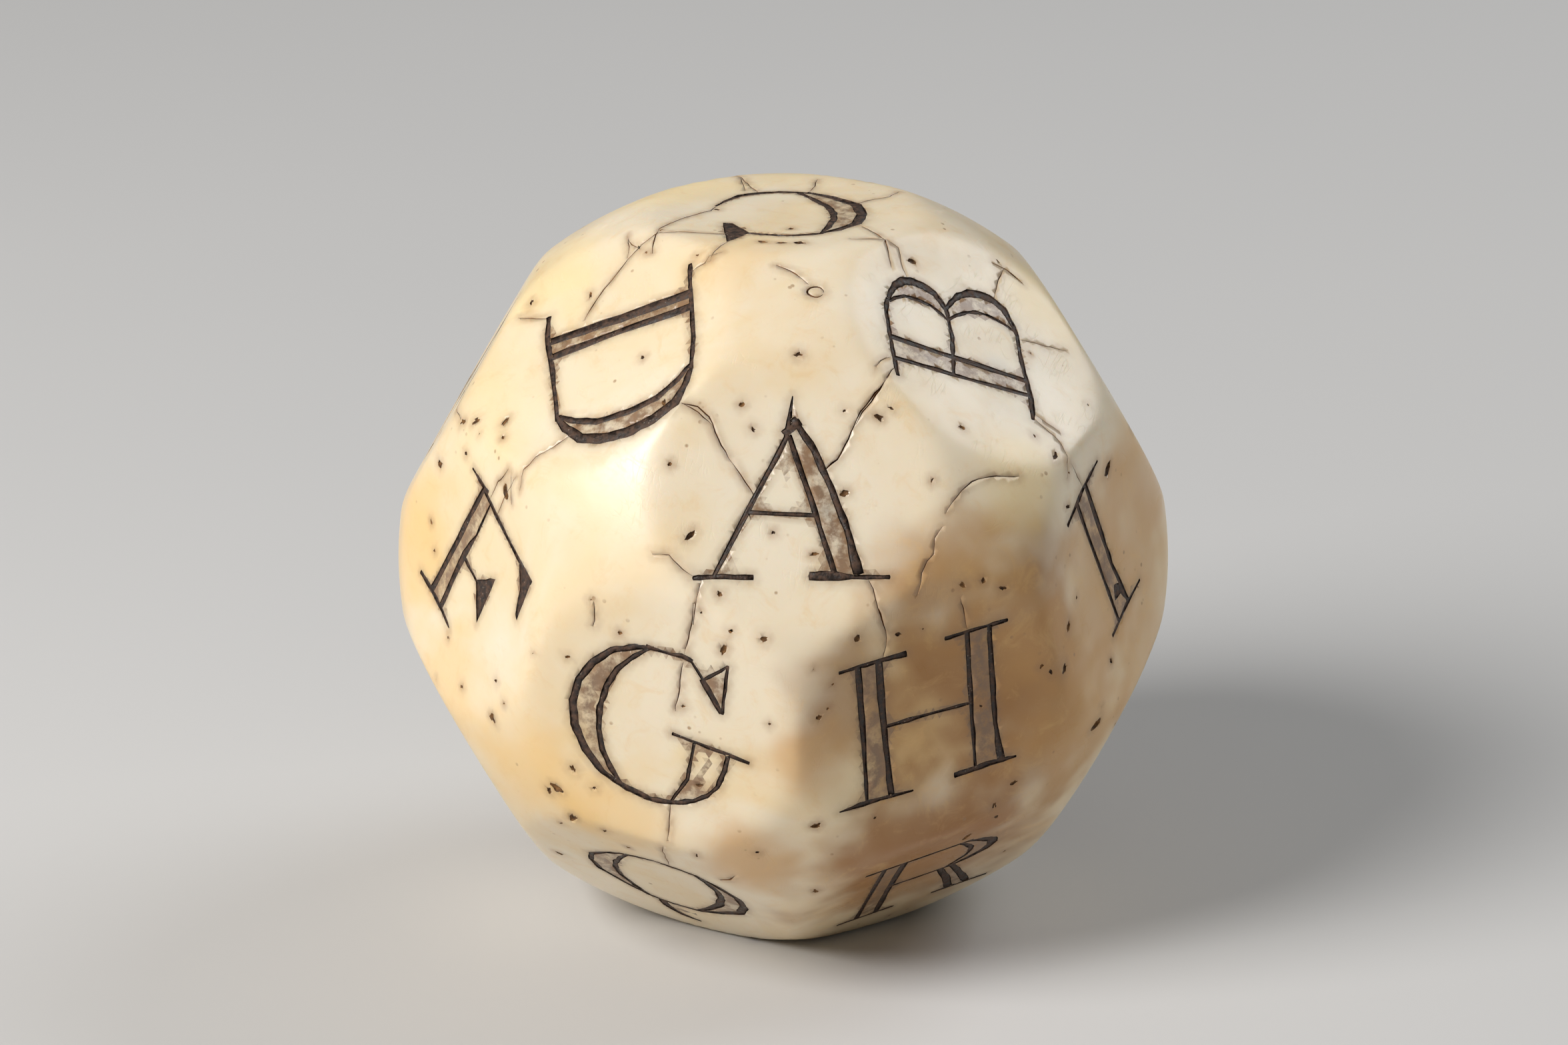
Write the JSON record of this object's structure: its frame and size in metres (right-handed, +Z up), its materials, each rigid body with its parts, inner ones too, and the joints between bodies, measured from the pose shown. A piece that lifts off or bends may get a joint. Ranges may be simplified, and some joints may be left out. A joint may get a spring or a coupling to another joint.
{
  "type": "letter die",
  "caption": "Ball-shaped ivory die with flats all round, each engraved with a Roman capital rubbed with dark pigment.",
  "frame": {"origin": "centre of the underside: the middle of the flat that the die rests on", "axes": "+Z up, square to the flat on top and to the flat it rests on; -Y towards the front, where the first letter of the alphabet is; +X to the right seen from the front"},
  "size_m": [0.045, 0.045, 0.042],
  "materials": {
    "ivory": "handled ivory, satin gloss, yellowed and brown-stained in places",
    "letter_pigment": "dark brown pigment rubbed into the engraved strokes"
  },
  "bodies": {
    "root": {"die_body": "ivory", "letter_A_fill": "letter_pigment", "letter_B_fill": "letter_pigment", "letter_C_fill": "letter_pigment", "letter_D_fill": "letter_pigment", "letter_E_fill": "letter_pigment", "letter_F_fill": "letter_pigment", "letter_G_fill": "letter_pigment", "letter_H_fill": "letter_pigment", "letter_I_fill": "letter_pigment", "letter_K_fill": "letter_pigment", "letter_L_fill": "letter_pigment", "letter_M_fill": "letter_pigment", "letter_N_fill": "letter_pigment", "letter_O_fill": "letter_pigment", "letter_P_fill": "letter_pigment", "letter_Q_fill": "letter_pigment", "letter_R_fill": "letter_pigment", "letter_S_fill": "letter_pigment", "letter_T_fill": "letter_pigment", "letter_V_fill": "letter_pigment", "letter_W_fill": "letter_pigment", "letter_X_fill": "letter_pigment", "letter_Y_fill": "letter_pigment", "letter_Z_fill": "letter_pigment"}
  },
  "joints": []
}
